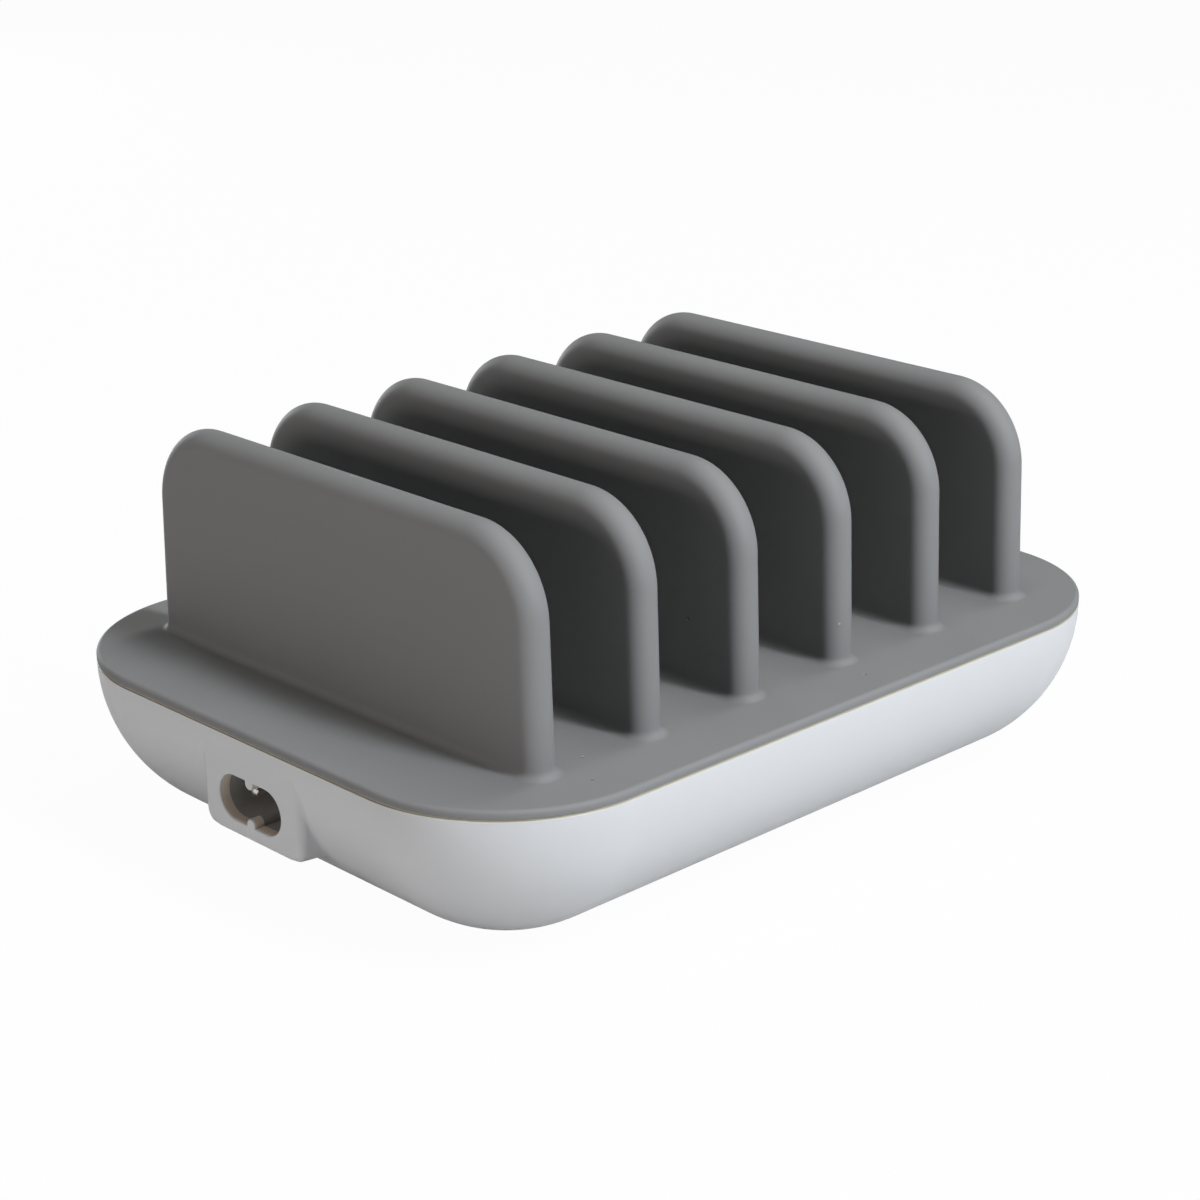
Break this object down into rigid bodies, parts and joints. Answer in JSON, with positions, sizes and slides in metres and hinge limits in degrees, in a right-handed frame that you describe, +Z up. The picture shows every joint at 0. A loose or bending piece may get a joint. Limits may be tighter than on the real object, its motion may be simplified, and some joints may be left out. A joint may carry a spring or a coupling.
{
  "type": "charging station",
  "caption": "Desk charging station: hull-shaped lower shell with a mains inlet, soft cover with upright fins that part slots for phones and tablets, and a row of sockets at the rear.",
  "frame": {"origin": "on the plane that the feet stand on, under the middle of the body", "axes": "+X along the row of fins, with the mains inlet at the -X end; +Y towards the side with the charging sockets; +Z up"},
  "size_m": [0.156, 0.1186, 0.0676],
  "materials": {
    "shell_white": "fine satin moulded plastic, white with a cool tint",
    "cover_grey": "matt soft-touch silicone, mid grey",
    "frame_plastic": "moulded plastic",
    "foot_rubber": "matt black rubber",
    "screw_steel": "plated steel",
    "inlet_plastic": "dark moulded plastic",
    "contact_metal": "nickel plated",
    "board_green": "solder mask on glass laminate",
    "barrier_sheet": "plastic film",
    "fuse_glass": "clear tube with metal caps",
    "component_yellow": "moulded box",
    "component_blue": "coated ceramic",
    "ferrite": "sintered ferrite",
    "powder_core": "painted powder core",
    "copper_wire": "enamelled copper wire",
    "component_black": "moulded epoxy",
    "capacitor_sleeve": "shrunk plastic sleeve",
    "sink_aluminium": "extruded aluminium",
    "winding_tape": "polyester tape",
    "socket_metal": "plated sheet steel",
    "socket_plastic": "moulded insulator",
    "contact_gold": "gold plated contact"
  },
  "bodies": {
    "root": {"lower_shell": "shell_white", "silicone_cover": "cover_grey", "top_frame": "frame_plastic", "rubber_feet": "foot_rubber", "case_screws": "screw_steel", "inlet_body": "inlet_plastic", "inlet_pins": "contact_metal", "main_board": "board_green", "board_screws": "screw_steel", "insulation_sheet": "barrier_sheet", "fuse": "fuse_glass", "x_capacitor": "component_yellow", "varistor": "component_blue", "choke_core": "ferrite", "choke_winding": "copper_wire", "bridge_rectifier": "component_black", "input_capacitors": "capacitor_sleeve", "primary_heat_sink": "sink_aluminium", "power_switch": "component_black", "transformer_core": "ferrite", "transformer_bobbin": "component_black", "transformer_winding": "winding_tape", "y_capacitor": "component_blue", "secondary_heat_sink": "sink_aluminium", "output_rectifier": "component_black", "output_capacitors": "capacitor_sleeve", "output_choke_core": "powder_core", "output_choke_winding": "copper_wire", "port_board": "board_green", "board_link": "component_black", "control_chips": "component_black", "socket_shells": "socket_metal", "socket_tongues": "socket_plastic", "socket_contacts": "contact_gold"}
  },
  "joints": []
}
